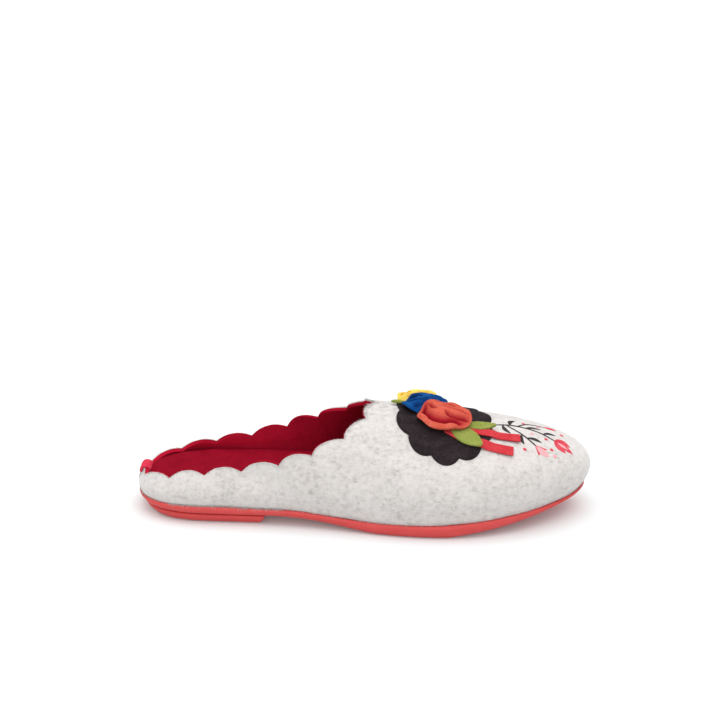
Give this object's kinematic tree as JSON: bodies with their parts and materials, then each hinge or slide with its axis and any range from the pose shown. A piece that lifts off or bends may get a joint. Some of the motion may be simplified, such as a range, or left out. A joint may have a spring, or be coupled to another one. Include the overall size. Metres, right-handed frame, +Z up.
{
  "type": "house slipper",
  "caption": "Backed felt mule for the right foot with a scalloped collar, red lining and padded footbed, a thin red rubber sole on a low heel, and rolled felt flowers on the vamp.",
  "frame": {"origin": "middle of the slipper's footprint, on the floor that it stands on", "axes": "+X to the toe, +Z up, -Y to the outer side of the right foot"},
  "size_m": [0.2512, 0.0916, 0.0643],
  "materials": {
    "red_rubber": "matte moulded rubber with a fine grain",
    "grey_felt": "mottled light grey wool felt",
    "red_fleece": "deep red short-napped fleece",
    "orange_felt": "craft felt",
    "blue_felt": "craft felt",
    "yellow_felt": "craft felt",
    "green_felt": "craft felt",
    "black_felt": "thin craft felt backing under the flowers",
    "red_felt": "thin craft felt strips and printed motifs"
  },
  "bodies": {
    "root": {"outsole": "red_rubber", "heel_lift": "red_rubber", "upper": "grey_felt", "insole": "red_fleece", "flower_orange": "orange_felt", "flower_blue": "blue_felt", "flower_yellow": "yellow_felt", "leaf_outer": "green_felt", "leaf_toe": "green_felt", "leaf_back": "green_felt"}
  },
  "joints": []
}
